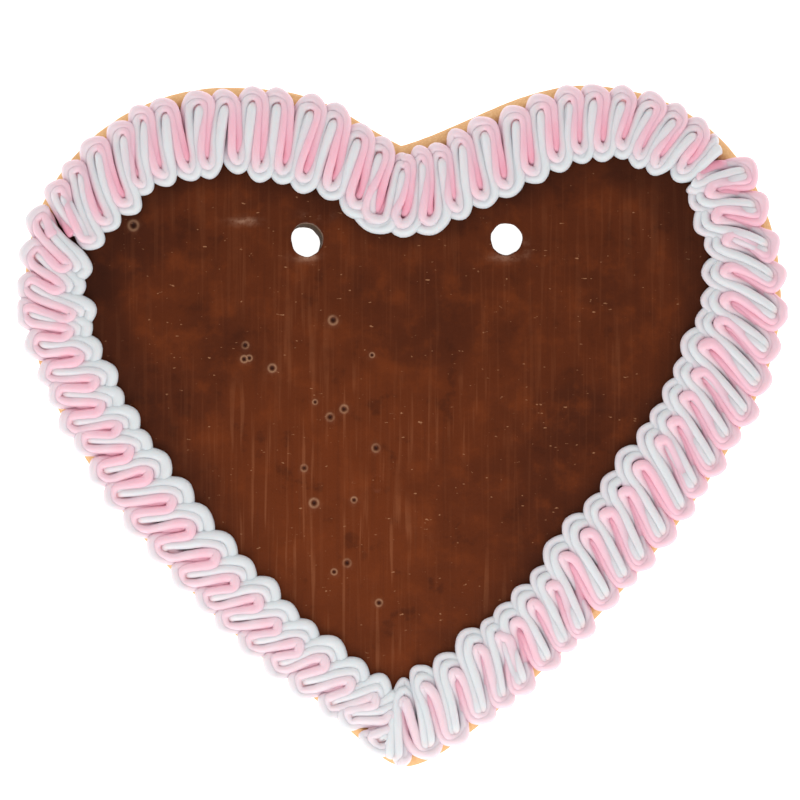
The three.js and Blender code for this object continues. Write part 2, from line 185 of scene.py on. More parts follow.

# A stroke of the star nozzle is a bundle of five strands: the core fills the folds with deeper
# colour and painted shade, the ring and the rim carry the pink, and the upper and lower ones are
# white ledges. Each strand is given at eight stations of a loop: inner bend, its far corner,
# outward stroke, near corner, outer bend, its far corner, inward stroke, near corner. A station
# holds the place across (in loops, from the bend), the distance in from the bend's edge, the height
# over the slab and the radius (in mm), how pink the strand is there, and its fold shade: 1 in a
# deep pink fold (partly deeper pink icing, partly painted shade), -1 in a fold of painted salmon
# shade. A stroke lies midway between its two corners, moved across by its first number.
STRANDS = {
    "icing_top": {
        "core": ((0.02, 5.4, 1.3, 1.4, 0.9, 1.0), (0.16, 7.6, 1.4, 1.4, 1.0, 0.9),
                 (-0.08, 0.0, 1.2, 1.3, 0.8, 0.6), (-0.02, 5.8, 1.3, 1.3, 0.9, -0.8),
                 (0.17, 4.7, 1.7, 1.3, 1.0, -1.0), (0.32, 5.5, 1.5, 1.3, 1.0, -1.0),
                 (0.00, 0.0, 1.1, 1.3, 1.0, 0.0), (-0.08, 7.6, 1.4, 1.4, 1.0, 1.0)),
        "ring": ((0.02, 6.1, 2.0, 1.15, 1.0, 1.0), (0.10, 8.0, 1.2, 0.9, 1.0, 1.0),
                 (0.00, 0.0, 0.9, 0.9, 0.9, 0.6), (-0.32, 4.4, 1.3, 1.2, 0.4, 0.0),
                 (0.02, 1.4, 1.9, 1.4, 0.35, 0.0), (0.50, 3.6, 2.8, 1.25, 0.65, 0.0),
                 (0.02, 0.0, 3.1, 1.2, 0.9, 0.2), (0.04, 8.4, 2.8, 1.15, 1.0, 0.7)),
        "rim": ((0.00, 3.6, 2.6, 1.4, 0.3, 0.0), (0.26, 5.4, 2.6, 1.2, 0.25, 0.0),
                (0.00, 0.0, 2.3, 1.4, 0.05, 0.0), (-0.17, 4.8, 2.3, 1.2, 0.12, 0.0),
                (0.12, 3.1, 2.7, 1.0, 0.4, 0.0), (0.36, 4.4, 3.2, 1.1, 0.8, 0.0),
                (0.00, 0.0, 3.4, 1.2, 0.9, 0.15), (-0.25, 5.6, 3.1, 1.2, 0.65, 0.0)),
        "upper": ((0.00, 2.2, 1.6, 1.4, 0.0, 0.0), (0.38, 4.6, 1.9, 1.3, 0.0, 0.0),
                  (0.00, 0.0, 2.4, 1.15, 0.0, 0.0), (0.06, 6.6, 2.4, 1.05, 0.0, 0.0),
                  (0.16, 5.3, 1.8, 1.2, 0.6, -0.8), (0.30, 6.2, 1.2, 1.1, 1.0, -1.0),
                  (0.00, 0.0, 0.9, 0.9, 0.2, 0.0), (-0.42, 5.0, 1.2, 1.2, 0.0, 0.0)),
        "lower": ((0.02, 1.6, 1.5, 1.65, 0.0, 0.0), (0.46, 3.8, 2.1, 1.5, 0.0, 0.0),
                  (0.00, 0.0, 2.9, 1.45, 0.0, 0.0), (0.14, 6.0, 3.1, 1.35, 0.0, 0.0),
                  (0.18, 5.4, 2.0, 1.0, 0.2, -0.3), (0.30, 6.2, 1.0, 0.9, 1.0, -1.0),
                  (0.00, 0.0, 0.8, 1.0, 0.1, 0.0), (-0.46, 4.4, 1.3, 1.5, 0.0, 0.0)),
    },
    "icing_right": {
        "core": ((0.04, 7.4, 1.5, 1.4, 1.0, 1.0), (0.14, 9.2, 1.7, 1.5, 1.0, 1.0),
                 (-0.14, 0.0, 1.6, 1.5, 1.0, 1.0), (-0.08, 5.0, 0.9, 1.4, 1.0, -0.3),
                 (0.16, 4.2, 1.5, 1.3, 1.0, -0.9), (0.34, 5.2, 1.4, 1.3, 1.0, -0.9),
                 (0.04, 0.0, 1.1, 1.3, 1.0, 0.3), (-0.10, 10.0, 1.5, 1.5, 1.0, 0.8)),
        "ring": ((0.06, 8.2, 2.1, 1.0, 1.0, 1.0), (0.10, 9.8, 1.2, 0.9, 1.0, 1.0),
                 (0.00, 0.0, 0.9, 0.9, 0.9, 0.6), (-0.30, 4.6, 1.4, 1.2, 0.8, 0.0),
                 (0.02, 1.6, 2.0, 1.55, 0.6, 0.0), (0.48, 3.8, 2.3, 1.35, 0.85, 0.0),
                 (0.08, 0.0, 2.5, 1.15, 1.0, 0.3), (0.08, 10.2, 2.6, 1.05, 1.0, 0.8)),
        "rim": ((0.00, 6.2, 3.0, 1.55, 0.7, 0.0), (0.24, 8.0, 2.7, 1.15, 0.5, 0.0),
                (-0.04, 0.0, 1.8, 1.0, 0.3, 0.0), (-0.22, 4.4, 1.9, 1.1, 0.6, 0.0),
                (0.10, 2.9, 2.2, 1.1, 0.8, 0.0), (0.34, 4.4, 2.8, 1.25, 1.0, 0.0),
                (-0.02, 0.0, 3.1, 1.4, 0.95, 0.0), (-0.20, 8.2, 3.1, 1.4, 0.85, 0.0)),
        "upper": ((0.00, 3.3, 2.2, 1.35, 0.0, 0.0), (0.36, 5.6, 2.7, 1.3, 0.0, 0.0),
                  (0.00, 0.0, 3.2, 1.3, 0.0, 0.0), (-0.02, 5.2, 3.1, 1.15, 0.0, 0.0),
                  (0.12, 4.2, 2.2, 1.1, 0.3, -0.6), (0.30, 5.4, 1.2, 1.1, 1.0, -1.0),
                  (0.00, 0.0, 0.9, 0.9, 0.2, 0.0), (-0.40, 5.8, 1.4, 1.3, 0.0, 0.0)),
        "lower": ((0.02, 1.15, 1.1, 1.25, 0.2, 0.0), (0.48, 3.8, 1.7, 1.35, 0.15, 0.0),
                  (0.00, 0.0, 2.9, 1.3, 0.0, 0.0), (0.20, 5.2, 3.1, 1.2, 0.0, 0.0),
                  (0.22, 4.3, 2.2, 1.0, 0.3, -0.4), (0.34, 5.6, 1.0, 0.9, 1.0, -1.0),
                  (0.00, 0.0, 0.8, 1.0, 0.1, 0.0), (-0.48, 4.0, 1.1, 1.3, 0.0, 0.0)),
    },
    "icing_left": {
        "core": ((0.02, 7.8, 1.4, 1.4, 1.0, 0.7), (0.12, 9.4, 1.6, 1.5, 1.0, 0.7),
                 (-0.12, 0.0, 1.5, 1.4, 1.0, 0.5), (-0.08, 5.4, 0.9, 1.4, 0.9, -0.6),
                 (0.18, 4.4, 1.5, 1.3, 0.9, -1.0), (0.36, 5.4, 1.3, 1.3, 0.9, -0.8),
                 (0.04, 0.0, 1.0, 1.2, 1.0, 0.3), (-0.20, 8.0, 1.0, 1.3, 1.0, 0.4)),
        "ring": ((0.02, 8.4, 1.3, 0.9, 1.0, 0.6), (0.08, 10.0, 0.9, 0.9, 1.0, 0.6),
                 (0.00, 0.0, 0.9, 0.9, 0.9, 0.6), (-0.32, 4.2, 1.4, 1.2, 0.45, 0.0),
                 (0.04, 1.5, 1.9, 1.45, 0.15, 0.0), (0.48, 3.6, 2.3, 1.3, 0.35, 0.0),
                 (0.06, 0.0, 2.1, 1.0, 0.9, 0.3), (0.02, 10.4, 1.6, 0.9, 1.0, 0.6)),
        "rim": ((0.00, 6.5, 2.7, 1.45, 0.65, 0.0), (0.22, 8.4, 2.8, 1.35, 0.85, 0.0),
                (0.00, 0.0, 2.7, 1.35, 0.6, 0.0), (-0.20, 4.6, 2.5, 1.15, 0.7, 0.0),
                (0.10, 3.0, 2.4, 1.0, 0.7, 0.0), (0.34, 4.6, 2.7, 1.2, 0.8, 0.0),
                (0.00, 0.0, 2.9, 1.4, 0.9, 0.0), (-0.22, 8.4, 2.9, 1.45, 0.9, 0.0)),
        "upper": ((0.00, 4.2, 2.3, 1.3, 0.1, 0.0), (0.38, 6.4, 2.6, 1.3, 0.1, 0.0),
                  (0.00, 0.0, 2.8, 1.2, 0.0, 0.0), (0.06, 5.8, 2.7, 1.1, 0.1, 0.0),
                  (0.14, 4.9, 1.8, 1.1, 0.4, -0.6), (0.30, 5.8, 1.2, 1.0, 1.0, -1.0),
                  (0.00, 0.0, 0.9, 0.9, 0.2, 0.0), (-0.38, 6.4, 1.4, 1.2, 0.0, 0.0)),
        "lower": ((0.02, 1.8, 1.4, 1.85, 0.0, 0.0), (0.50, 4.6, 1.7, 1.7, 0.0, 0.0),
                  (0.00, 0.0, 2.2, 1.3, 0.0, 0.0), (0.20, 5.6, 2.3, 1.1, 0.0, 0.0),
                  (0.24, 4.9, 1.6, 1.0, 0.4, -0.4), (0.36, 5.8, 0.9, 0.9, 1.0, -1.0),
                  (0.00, 0.0, 0.8, 1.0, 0.1, 0.0), (-0.50, 4.6, 1.2, 1.7, 0.0, 0.0)),
    },
}
# Where the eight stations lie in a loop; whole turns are outer bends.
STATION_TURNS = (-0.5, -0.4, -0.25, -0.1, 0.0, 0.1, 0.25, 0.4)
INNER_STATIONS = [0, 1, 7]
OUTER_STATIONS = [3, 4, 5]
STROKE_STATIONS = np.array([2, 6])
# How far the hand strays at a station: across (loops), back (mm), height (mm), radius (share).
HAND_JITTER = (0.02, 0.12, 0.08, 0.03)
# Towards its two ends, over END_EASE loops, a rope draws together by END_GATHER and its strands
# swell by END_SWELL. Each strand is rounded off over its last END_ROUNDING stations, down to
# END_POINT of its radius.
END_EASE = 0.16
END_GATHER = 0.4
END_SWELL = 0.6
END_ROUNDING = 0.35
END_POINT = 0.08
END_STEPS = 7
THINNEST_STRAND = 0.2
# The room in mm that the icing keeps from the sides of the frame's box.
EDGE_ROOM = 0.2
# Unevenness of the dried icing, in mm: how far it swells or sinks and how wide its grains are.
GRAIN_HEIGHT = 0.08
GRAIN_SIZE = 1.1111


def linear(code, alpha=1.0):
    """Turns an sRGB hex code into the linear colour that the shaders take."""
    parts = [int(code[i:i + 2], 16) / 255 for i in (1, 3, 5)]
    parts = [p / 12.92 if p <= 0.04045 else ((p + 0.055) / 1.055) ** 2.4 for p in parts]
    return (*parts, alpha)


# ---- Values on a mesh's points ----

def point_places(data):
    """The places of a mesh's points, in metres."""
    places = np.empty(len(data.vertices) * 3, np.float32)
    data.vertices.foreach_get("co", places)
    return places.reshape(-1, 3)


def store_values(data, name, values):
    """Stores a value for each point of a mesh under a name."""
    layer = data.attributes.get(name) or data.attributes.new(name, "FLOAT", "POINT")
    layer.data.foreach_set("value", values.astype(np.float32))


# ---- Nodes ----

def cleared_tree(owner):
    """The node tree of a new material or world, with nothing in it."""
    owner.use_nodes = True
    owner.node_tree.nodes.clear()
    return owner.node_tree


def add_node(tree, kind, settings=None, links=None):
    """Adds a node, gives it its settings and feeds its sockets from sockets, fields or values."""
    node = tree.nodes.new(kind)
    for name, value in (settings or {}).items():
        setattr(node, name, value)
    for key, value in (links or {}).items():
        value = getattr(value, "socket", value)
        if isinstance(value, bpy.types.NodeSocket):
            tree.links.new(value, node.inputs[key])
        else:
            node.inputs[key].default_value = value
    return node


class Field:
    """A number that varies over a surface; arithmetic on it adds math nodes to its tree."""

    def __init__(self, tree, socket):
        self.tree = tree
        self.socket = socket

    def math(self, operation, *others, first=None):
        values = (self, *others) if first is None else (first, self, *others)
        node = add_node(self.tree, "ShaderNodeMath", {"operation": operation},
                        dict(enumerate(values)))
        return Field(self.tree, node.outputs[0])

    def __add__(self, other):
        return self.math("ADD", other)

    __radd__ = __add__

    def __sub__(self, other):
        return self.math("SUBTRACT", other)

    def __rsub__(self, other):
        return self.math("SUBTRACT", first=other)

    def __mul__(self, other):
        return self.math("MULTIPLY", other)

    def __truediv__(self, other):
        return self.math("DIVIDE", other)

    def __rtruediv__(self, other):
        return self.math("DIVIDE", first=other)

    def __neg__(self):
        return self.math("MULTIPLY", -1.0)

    def __pow__(self, other):
        return self.math("POWER", other)


def smooth_step(value, low, high):
    """A field that eases from 0 to 1 as value goes from low to high."""
    share = ((value - low) / (high - low)).math("MAXIMUM", 0.0).math("MINIMUM", 1.0)
    return share * share * (3.0 - share * 2.0)


def surface_patterns(tree, patterns):
    """Noise on Object coordinates by name: feature size in mm, stretch, detail and roughness."""
    coords = add_node(tree, "ShaderNodeTexCoord").outputs["Object"]
    made = {}
    for name, (size, stretch, detail, roughness) in patterns.items():
        placed = add_node(tree, "ShaderNodeMapping", links={"Vector": coords, "Scale": stretch})
        grains = add_node(tree, "ShaderNodeTexNoise", links={
            "Vector": placed.outputs[0], "Scale": 1 / (size * MM), "Detail": detail,
            "Roughness": roughness})
        made[name] = Field(tree, grains.outputs["Fac"])
    return made


def stored_marks(tree, names):
    """The marks stored on a mesh's points, as fields by name."""
    made = {}
    for name in names:
        stored = add_node(tree, "ShaderNodeAttribute", {"attribute_name": name})
        made[name] = Field(tree, stored.outputs["Fac"])
    return made


def coat_over(tree, base, coats):
    """Lays coats over a base colour, each with its colour, its share and how it mixes."""
    for colour, share, *how in coats:
        base = add_node(tree, "ShaderNodeMix", {
            "data_type": "RGBA", "blend_type": how[0] if how else "MIX"}, {
            "Factor": share, "A": base, "B": colour}).outputs["Result"]
    return base


# ---- Curves of the heart ----

CURVE_STEPS = 200


def polar(point, reach, degrees, direction=1):
    """The place at a reach and an angle from a point; direction -1 mirrors the angle."""
    angle = math.radians(degrees)
    return (point[0] + direction * reach * math.cos(angle), point[1] + reach * math.sin(angle))


def side_curves(outline, side, direction):
    """The four Bezier curves of one side, from the cleft to the tip."""
    cleft, tip = outline["cleft"], outline["tip"]
    top, widest, flank = side["lobe_top"], side["widest"], side["flank"]
    flank_in = polar(flank, side["flank_reach_up"], side["flank_angle"], direction)
    flank_out = polar(flank, -side["flank_reach_down"], side["flank_angle"], direction)
    return [
        (cleft, polar(cleft, side["cleft_reach"], side["cleft_angle"], direction),
         (top[0] - direction * side["lobe_reach_in"], top[1]), top),
        (top, (top[0] + direction * side["lobe_reach_out"], top[1]),
         (widest[0], widest[1] + side["widest_reach_up"]), widest),
        (widest, (widest[0], widest[1] - side["widest_reach_down"]), flank_in, flank),
        (flank, flank_out, (tip[0] + direction * side["tip_reach"], tip[1]), tip),
    ]


def heart_curves(outline):
    """The whole heart as eight Bezier curves, clockwise from the cleft."""
    left = [curve[::-1] for curve in side_curves(outline, outline["left"], -1)][::-1]
    return side_curves(outline, outline["right"], 1) + left


def closed_run(points):
    """A line closed on itself, and how far along it each of its points lies."""
    closed = np.vstack([points, points[:1]])
    run = np.cumsum(np.linalg.norm(np.diff(closed, axis=0), axis=1))
    return closed, np.concatenate([[0], run])


def places_along(closed, run, at):
    """The places at distances along a closed line."""
    return np.stack([np.interp(at, run, closed[:, k]) for k in (0, 1)], axis=-1)


def heart_points(outline, count):
    """Points spread evenly by length round the heart, clockwise from the cleft."""
    t = np.linspace(0, 1, CURVE_STEPS, endpoint=False)[:, None]
    path = np.concatenate([
        (1 - t) ** 3 * a + 3 * (1 - t) ** 2 * t * b + 3 * (1 - t) * t ** 2 * c + t ** 3 * d
        for a, b, c, d in np.array(heart_curves(outline), float)])
    closed, run = closed_run(path)
    return places_along(closed, run, np.linspace(0, run[-1], count, endpoint=False))


# ---- Properties ----

def colour_property(name, description, code):
    """A colour for a user to change, from an sRGB hex code."""
    return FloatVectorProperty(name=name, description=description, subtype="COLOR", size=4,
                               min=0, max=1, default=linear(code))


class SlabSettings(bpy.types.PropertyGroup):
    """Sizes and colours of the gingerbread slab."""
    grain: FloatProperty(
        name="Mesh grain", description="Distance between points of the upper face, in mm",
        default=1.25, min=0.6, max=4)
    unevenness: FloatProperty(
        name="Unevenness", description="Height of the slow waves of the upper face, in mm",
        default=0.16, min=0, max=1)
    glaze: colour_property("Glaze", "Colour of the glazed top", "#58260e")
    glaze_dark: colour_property("Dark glaze", "Colour where the glaze lies thick", "#3c190b")
    glaze_warm: colour_property("Warm glaze", "Colour where the glaze is thin", "#723311")
    crumb: colour_property("Crumb", "Colour of the bare dough at the sides", "#d0a06e")


class BorderSettings(bpy.types.PropertyGroup):
    """Sizes and colours of the piped border."""
    steps: IntProperty(
        name="Steps per loop", description="Sections along one loop of a strand", default=54,
        min=12, max=200)
    sides: IntProperty(
        name="Sides", description="Points round one section of a strand", default=13, min=6,
        max=48)
    white: colour_property("White icing", "Colour of the white strands", "#e0e4e6")
    pink: colour_property("Pink icing", "Colour of the pink strands", "#ffbccd")


class StageSettings(bpy.types.PropertyGroup):
    """The floor, the lights and the camera."""
    distance: FloatProperty(
        name="Camera distance", description="Height of the camera above the icing",
        default=3.0, unit="LENGTH")
    light: FloatProperty(
        name="Light", description="Strength of the soft light beyond the tip", default=1.9,
        unit="POWER")


class HeartSettings(bpy.types.PropertyGroup):
    """All that a user would change on the heart."""
    slab: PointerProperty(type=SlabSettings)
    border: PointerProperty(type=BorderSettings)
    stage: PointerProperty(type=StageSettings)


# ---- Piped rope ----

def border_places(along, out):
    """Points of the border, in mm: along its middle line and out across the chord there."""
    closed, run = closed_run(heart_points(BORDER_LINE, BORDER_POINTS))

    def at(distance):
        return places_along(closed, run, np.mod(distance, run[-1]))

    ahead = at(along + BEND_SMOOTHING) - at(along - BEND_SMOOTHING)
    ahead /= np.linalg.norm(ahead, axis=-1, keepdims=True)
    outward = np.stack([-ahead[..., 1], ahead[..., 0]], axis=-1)
    return at(along) + outward * out[..., None]


def smooth_path(stations, share):
    """A smooth curve through the stations, read at shares of the way between them."""
    # Knots by the square root of the distance keep tight bends round; none is shorter than this.
    shortest_knot = 0.2
    gap = np.sqrt(np.linalg.norm(np.diff(stations[:, :2], axis=0), axis=1)) + shortest_knot
    knots = np.concatenate([[0], np.cumsum(gap)])[:, None]
    slope = (stations[2:] - stations[:-2]) / (knots[2:] - knots[:-2])
    slope = np.vstack([slope[:1], slope, slope[-1:]])
    span = np.clip(share.astype(int), 0, len(stations) - 2)
    t = (share - span)[:, None]
    width = (knots[1:] - knots[:-1])[span]
    a, b = stations[span], stations[span + 1]
    return ((1 + 2 * t) * (1 - t) ** 2 * a + t * (1 - t) ** 2 * width * slope[span]
            + t * t * (3 - 2 * t) * b - t * t * (1 - t) * width * slope[span + 1])


def strand_stations(rope, strand, chance):
    """The stations of one strand over all loops: along, out, height, radius, pink and fold shade.
    """
    outer = np.column_stack([rope["outer_along"], rope["outer_edge"]])
    inner = np.column_stack([rope["inner_along"], rope["inner_edge"]])
    table = []
    for loop, wide in enumerate(np.gradient(outer[:, 0])):
        stations = np.array(strand)
        jitter = chance.normal(0, 1, (len(strand), len(HAND_JITTER))) * HAND_JITTER
        stations[:, 2] += jitter[:, 2]
        stations[:, 3] *= 1 + jitter[:, 3]
        moved = (stations[:, :2] + jitter[:, :2]) * (wide, 1)
        following = min(loop + 1, len(inner) - 1)
        places = np.empty((len(strand), 2))
        places[INNER_STATIONS] = inner[[loop, loop, following]] + moved[INNER_STATIONS]
        places[OUTER_STATIONS] = outer[loop] + moved[OUTER_STATIONS] * (1, -1)
        places[STROKE_STATIONS] = (places[STROKE_STATIONS - 1] + places[STROKE_STATIONS + 1]) / 2
        places[STROKE_STATIONS, 0] += stations[STROKE_STATIONS, 0] * wide
        table.append(np.column_stack([places, stations[:, 2:]]))
    return np.vstack(table)


def strand_lines(rope, strands, seed, steps):
    """The strands of a rope as lines of points, with radius, pink and painted fold shade at each.
    """
    chance = np.random.default_rng(seed)
    loops = len(rope["outer_along"]) - 1
    turns = np.concatenate([np.array(STATION_TURNS) + loop for loop in range(loops + 1)])
    reading = np.arange(len(turns))
    first, last = (np.interp(at, turns, reading)
                   for at in (rope["start"], loops + rope["end"]))
    share = np.linspace(first, last, int((loops + rope["end"] - rope["start"]) * steps))
    tip = END_ROUNDING * (1 - np.cos(np.linspace(0, np.pi / 2, END_STEPS)))
    share = np.unique(np.concatenate([share, first + tip, last - tip]))
    turn = np.interp(share, reading, turns)
    to_end = np.minimum(turn - rope["start"], loops + rope["end"] - turn)
    ease = np.clip(to_end / END_EASE, 0, 1)
    apart = 1 - (1 - ease) ** 2
    rounding = np.clip(np.minimum(share - first, last - share) / END_ROUNDING, 0, 1)
    rounding = np.maximum(np.sqrt(1 - (1 - rounding) ** 2), END_POINT)
    pinkness = np.interp(turn / loops, np.linspace(0, 1, len(rope["pinkness"])),
                         rope["pinkness"])
    paths = np.array([smooth_path(strand_stations(rope, strand, chance), share)
                      for strand in strands.values()])
    middle = paths[:, :, :3].mean(axis=0)
    gathered = (1 - END_GATHER * (1 - apart))[:, None]
    paths[:, :, :3] = middle + (paths[:, :, :3] - middle) * gathered
    low, high = (np.array(corner) / MM for corner in CAD_BOX)
    lines = []
    for path in paths:
        radius = np.maximum(path[:, 3], THINNEST_STRAND) * (1 + END_SWELL * (1 - apart))
        room = radius[:, None] + EDGE_ROOM
        spots = border_places(path[:, 0], path[:, 1])
        spots = np.clip(spots, low[:2] + room, high[:2] - room)
        height = np.minimum(SLAB_THICKNESS + path[:, 2], high[2] - room[:, 0])
        lines.append({
            "places": np.column_stack([spots, height]) * MM,
            "radius": radius * rounding * MM,
            "pink": np.clip(path[:, 4], 0, 1) * pinkness,
            "fold_shade": np.clip(path[:, 5], -1, 1),
        })
    return lines


def carrier_mesh(name, lines):
    """A mesh of bare edges that holds the strands' lines for the piping nodes."""
    data = bpy.data.meshes.new(name)
    starts = np.cumsum([0] + [len(line["places"]) for line in lines])
    edges = [(i, i + 1) for a, b in zip(starts, starts[1:]) for i in range(a, b - 1)]
    data.from_pydata(np.vstack([line["places"] for line in lines]).tolist(), edges, [])
    for label in ("radius", "pink", "fold_shade"):
        store_values(data, "strand_" + label, np.concatenate([line[label] for line in lines]))
    return data


def piping_tree(name, seed):
    """The nodes that pipe icing along the strands' lines."""
    tree = bpy.data.node_groups.new(name + "_piping", "GeometryNodeTree")
    face = tree.interface
    inputs = (("Strands", "Geometry", None), ("Icing", "Material", None), ("Sides", "Int", 13),
              ("Roughness", "Float", GRAIN_HEIGHT * MM),
              ("Grain size", "Float", GRAIN_SIZE * MM),
              ("Seed", "Float", seed))
    for label, kind, default in inputs:
        made = face.new_socket(name=label, in_out="INPUT", socket_type="NodeSocket" + kind)
        if default is not None:
            made.default_value = default
    face.new_socket(name="Rope", in_out="OUTPUT", socket_type="NodeSocketGeometry")
    given = add_node(tree, "NodeGroupInput").outputs
    radius = add_node(tree, "GeometryNodeInputNamedAttribute", {"data_type": "FLOAT"},
                      {"Name": "strand_radius"}).outputs["Attribute"]
    curves = add_node(tree, "GeometryNodeMeshToCurve", links={0: given["Strands"]})
    ring = add_node(tree, "GeometryNodeCurvePrimitiveCircle", links={
        "Resolution": given["Sides"], "Radius": 1.0})
    tube = add_node(tree, "GeometryNodeCurveToMesh", links={
        "Curve": curves.outputs[0], "Profile Curve": ring.outputs[0], "Scale": radius,
        "Fill Caps": True})
    grain = add_node(tree, "ShaderNodeTexNoise", {"noise_dimensions": "4D"}, {
        "W": given["Seed"], "Scale": 1.0 / Field(tree, given["Grain size"]), "Detail": 2.0})
    lift = (Field(tree, grain.outputs["Fac"]) - 0.5) * Field(tree, given["Roughness"]) * 2.0
    push = add_node(tree, "ShaderNodeVectorMath", {"operation": "SCALE"}, {
        0: add_node(tree, "GeometryNodeInputNormal").outputs[0], "Scale": lift})
    rough = add_node(tree, "GeometryNodeSetPosition", links={
        "Geometry": tube.outputs[0], "Offset": push.outputs[0]})
    smooth = add_node(tree, "GeometryNodeSetShadeSmooth", links={"Geometry": rough.outputs[0]})
    whole = add_node(tree, "GeometryNodeRealizeInstances", links={0: smooth.outputs[0]})
    iced = add_node(tree, "GeometryNodeSetMaterial", links={
        "Geometry": whole.outputs[0], "Material": given["Icing"]})
    add_node(tree, "NodeGroupOutput", links={"Rope": iced.outputs[0]})
    return tree


def plain_mesh(carrier, name):
    """The evaluated shape of an object with live nodes, as a plain mesh object."""
    shape = carrier.evaluated_get(bpy.context.evaluated_depsgraph_get())
    data = bpy.data.meshes.new_from_object(shape)
    data.name = name
    carrier.modifiers.clear()
    bpy.data.objects.remove(carrier)
    made = bpy.data.objects.new(name, data)
    bpy.context.collection.objects.link(made)
    return made


def blurred(grid, width):
    """A grid of values blurred by a bell curve, with its width in cells."""
    reach = int(width * 3)
    bell = np.exp(-0.5 * (np.arange(-reach, reach + 1) / width) ** 2)
    for axis in (0, 1):
        grid = np.apply_along_axis(np.convolve, axis, grid, bell / bell.sum(), "same")
    return grid


def blend_strands(data):
    """Lets the colours of strands that touch run together, and marks the creases for painted shade.
    """
    # A grid seen from above, in mm; what lies a grip lower counts for less than half as much.
    cell, bleed, grip, share = 0.3, 0.55, 0.35, 0.5
    crease_from, crease_depth = 0.1, 1.2
    places = point_places(data) / MM
    margin = 2
    low = places[:, :2].min(axis=0) - margin
    spots = ((places[:, :2] - low) / cell).astype(int)
    shape = spots.max(axis=0) + int(margin / cell) + 2
    on_top = np.exp((places[:, 2] - ICING_TOP) / grip)

    def seen_from_above(values):
        total = np.zeros((2, *shape))
        np.add.at(total[0], (spots[:, 0], spots[:, 1]), values * on_top)
        np.add.at(total[1], (spots[:, 0], spots[:, 1]), on_top)
        wide = [blurred(grid, bleed / cell) for grid in total]
        return (wide[0] / (wide[1] + 1e-12))[spots[:, 0], spots[:, 1]]

    for label in ("strand_pink", "strand_fold_shade"):
        own = np.empty(len(places), np.float32)
        data.attributes[label].data.foreach_get("value", own)
        store_values(data, label, own * (1 - share) + seen_from_above(own) * share)
    # Painted shade: the lower a point lies under what is seen from above it, the greyer its crease.
    sunk = seen_from_above(places[:, 2]) - places[:, 2] - crease_from
    store_values(data, "strand_crease_shade", np.clip(sunk / crease_depth, 0, 1))


def pipe_rope(name, seed, icing, border):
    """Pipes one rope along the border."""
    lines = strand_lines(ROPES[name], STRANDS[name], seed, border.steps)
    carrier = bpy.data.objects.new(name + "_carrier", carrier_mesh(name + "_lines", lines))
    bpy.context.collection.objects.link(carrier)
    nodes = carrier.modifiers.new("piping", "NODES")
    nodes.node_group = piping_tree(name, seed)
    values = {"Icing": icing, "Sides": border.sides}
    for item in nodes.node_group.interface.items_tree:
        if item.name in values and item.in_out == "INPUT":
            nodes[item.identifier] = values[item.name]
    piece = plain_mesh(carrier, name + "_rope")
    if not piece.data.polygons:
        raise RuntimeError(name + " came out empty")
    blend_strands(piece.data)
    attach(piece, "root")
    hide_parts(name)
    return piece


# Patterns of the icing: a slow mottle, and a sugar grain drawn coarser than it is to show.
ICING_PATTERNS = {
    "mottle": (3.8462, (1, 1, 1), 3.0, 0.5),
    "sugar": (0.41667, (1, 1, 1), 2.0, 0.5),
}


def icing_material(border):
    """Dried royal icing, piped pink and white in one stroke.

    It looks satin and a little translucent: soft edges, pale mottling, deeper colour in folds.
    Shade is painted into its folds and creases.
    """
    material = bpy.data.materials.new("royal_icing_two_tone")
    tree = cleared_tree(material)
    strand = stored_marks(tree, ("strand_pink", "strand_fold_shade", "strand_crease_shade"))
    pattern = surface_patterns(tree, ICING_PATTERNS)
    # Painted shade in folds: deeper pink where the fold shade is 1 (partly the icing's own deeper
    # pink), salmon where it is -1.
    deep = strand["strand_fold_shade"].math("MAXIMUM", 0.0)
    salmon = (-strand["strand_fold_shade"]).math("MAXIMUM", 0.0)
    colour = coat_over(tree, tuple(border.white), (
        (tuple(border.pink), strand["strand_pink"]),
        # Painted shade of the folds: deeper pink and salmon.
        (linear("#f088a4"), deep * 0.8),
        (linear("#f4917f"), salmon * 0.8),
        # Painted shade in the creases.
        (linear("#cfc8d2"), strand["strand_crease_shade"] * 0.5, "MULTIPLY"),
        (linear("#f6eff0"), pattern["mottle"] * 0.16),
    ))
    bump = add_node(tree, "ShaderNodeBump", links={
        "Height": pattern["sugar"], "Strength": 0.12, "Distance": 0.3 * MM})
    shader = add_node(tree, "ShaderNodeBsdfPrincipled", {"subsurface_method": "RANDOM_WALK"}, {
        "Base Color": colour, "Roughness": 0.46, "IOR": 1.46,
        "Subsurface Weight": 0.25, "Subsurface Radius": (1.0, 0.6, 0.5),
        "Subsurface Scale": 1.2 * MM, "Normal": bump.outputs[0]})
    add_node(tree, "ShaderNodeOutputMaterial", links={"Surface": shader.outputs[0]})
    return material


# ---- Slab ----

# Marks of the glazed face, by their places in the photograph's frame (800 pixels wide): baked
# pits with a light rim, given with radius and depth in mm. The rim's light colour is a painted
# highlight and the pit's dark floor is painted shade.
PIXEL_MM = 0.26
PIXEL_ORIGIN = (403, 425.5)
PITS = (
    ((333, 320), 0.9, 0.45), ((272, 368), 0.8, 0.4), ((245, 345), 0.7, 0.35),
    ((244, 359), 0.7, 0.35), ((249, 358), 0.6, 0.3), ((330, 417), 0.8, 0.4),
    ((344, 409), 0.8, 0.4), ((376, 448), 0.8, 0.4), ((314, 503), 0.9, 0.45),
    ((304, 468), 0.7, 0.35), ((354, 500), 0.6, 0.3), ((347, 563), 0.8, 0.4),
    ((334, 572), 0.6, 0.3), ((379, 603), 0.7, 0.35), ((372, 355), 0.5, 0.25),
    ((315, 402), 0.5, 0.25), ((133, 225), 1.0, 0.45),
)
